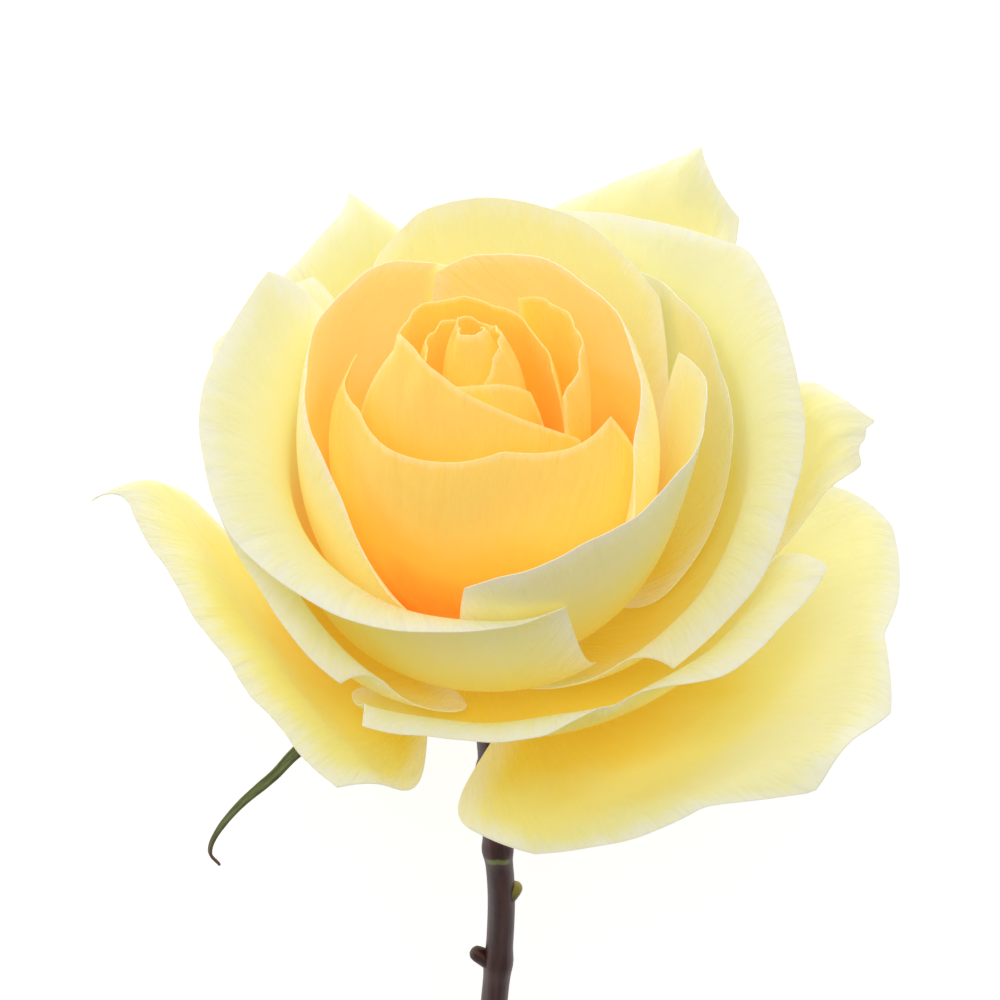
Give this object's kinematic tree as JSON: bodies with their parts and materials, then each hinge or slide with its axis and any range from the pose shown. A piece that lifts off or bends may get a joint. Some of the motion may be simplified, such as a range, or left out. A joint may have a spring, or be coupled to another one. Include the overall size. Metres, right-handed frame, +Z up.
{
  "type": "cut rose",
  "caption": "Cut yellow rose lying on its side: an open bloom of rolled, pointed petals round a tight bud, with sepals under it and a bare brown stem.",
  "frame": {"origin": "middle of the flower's footprint, at the level of the surface it lies on", "axes": "+Y along the stem from the bloom to the cut end, +Z up, +X across the bloom"},
  "size_m": [0.1058, 0.1802, 0.0903],
  "materials": {
    "heart_petals": "matte",
    "ball_petals": "matte",
    "outer_petals": "matte",
    "sepals": "matte",
    "stem": "satin"
  },
  "bodies": {
    "root": {"bud_petal_1": "heart_petals", "bud_petal_2": "heart_petals", "bud_petal_3": "heart_petals", "bud_petal_4": "heart_petals", "inner_petal_1": "heart_petals", "inner_petal_2": "heart_petals", "inner_petal_3": "heart_petals", "inner_petal_4": "heart_petals", "ball_petal_1": "ball_petals", "ball_petal_2": "ball_petals", "middle_petal_1": "outer_petals", "middle_petal_2": "outer_petals", "middle_petal_3": "outer_petals", "middle_petal_4": "outer_petals", "outer_petal_1": "outer_petals", "outer_petal_2": "outer_petals", "outer_petal_3": "outer_petals", "guard_petal_1": "outer_petals", "guard_petal_2": "outer_petals", "guard_petal_3": "outer_petals", "guard_petal_4": "outer_petals", "guard_petal_5": "outer_petals", "sepal_1": "sepals", "sepal_2": "sepals", "sepal_3": "sepals", "sepal_4": "sepals", "sepal_5": "sepals", "stem": "stem"}
  },
  "joints": []
}
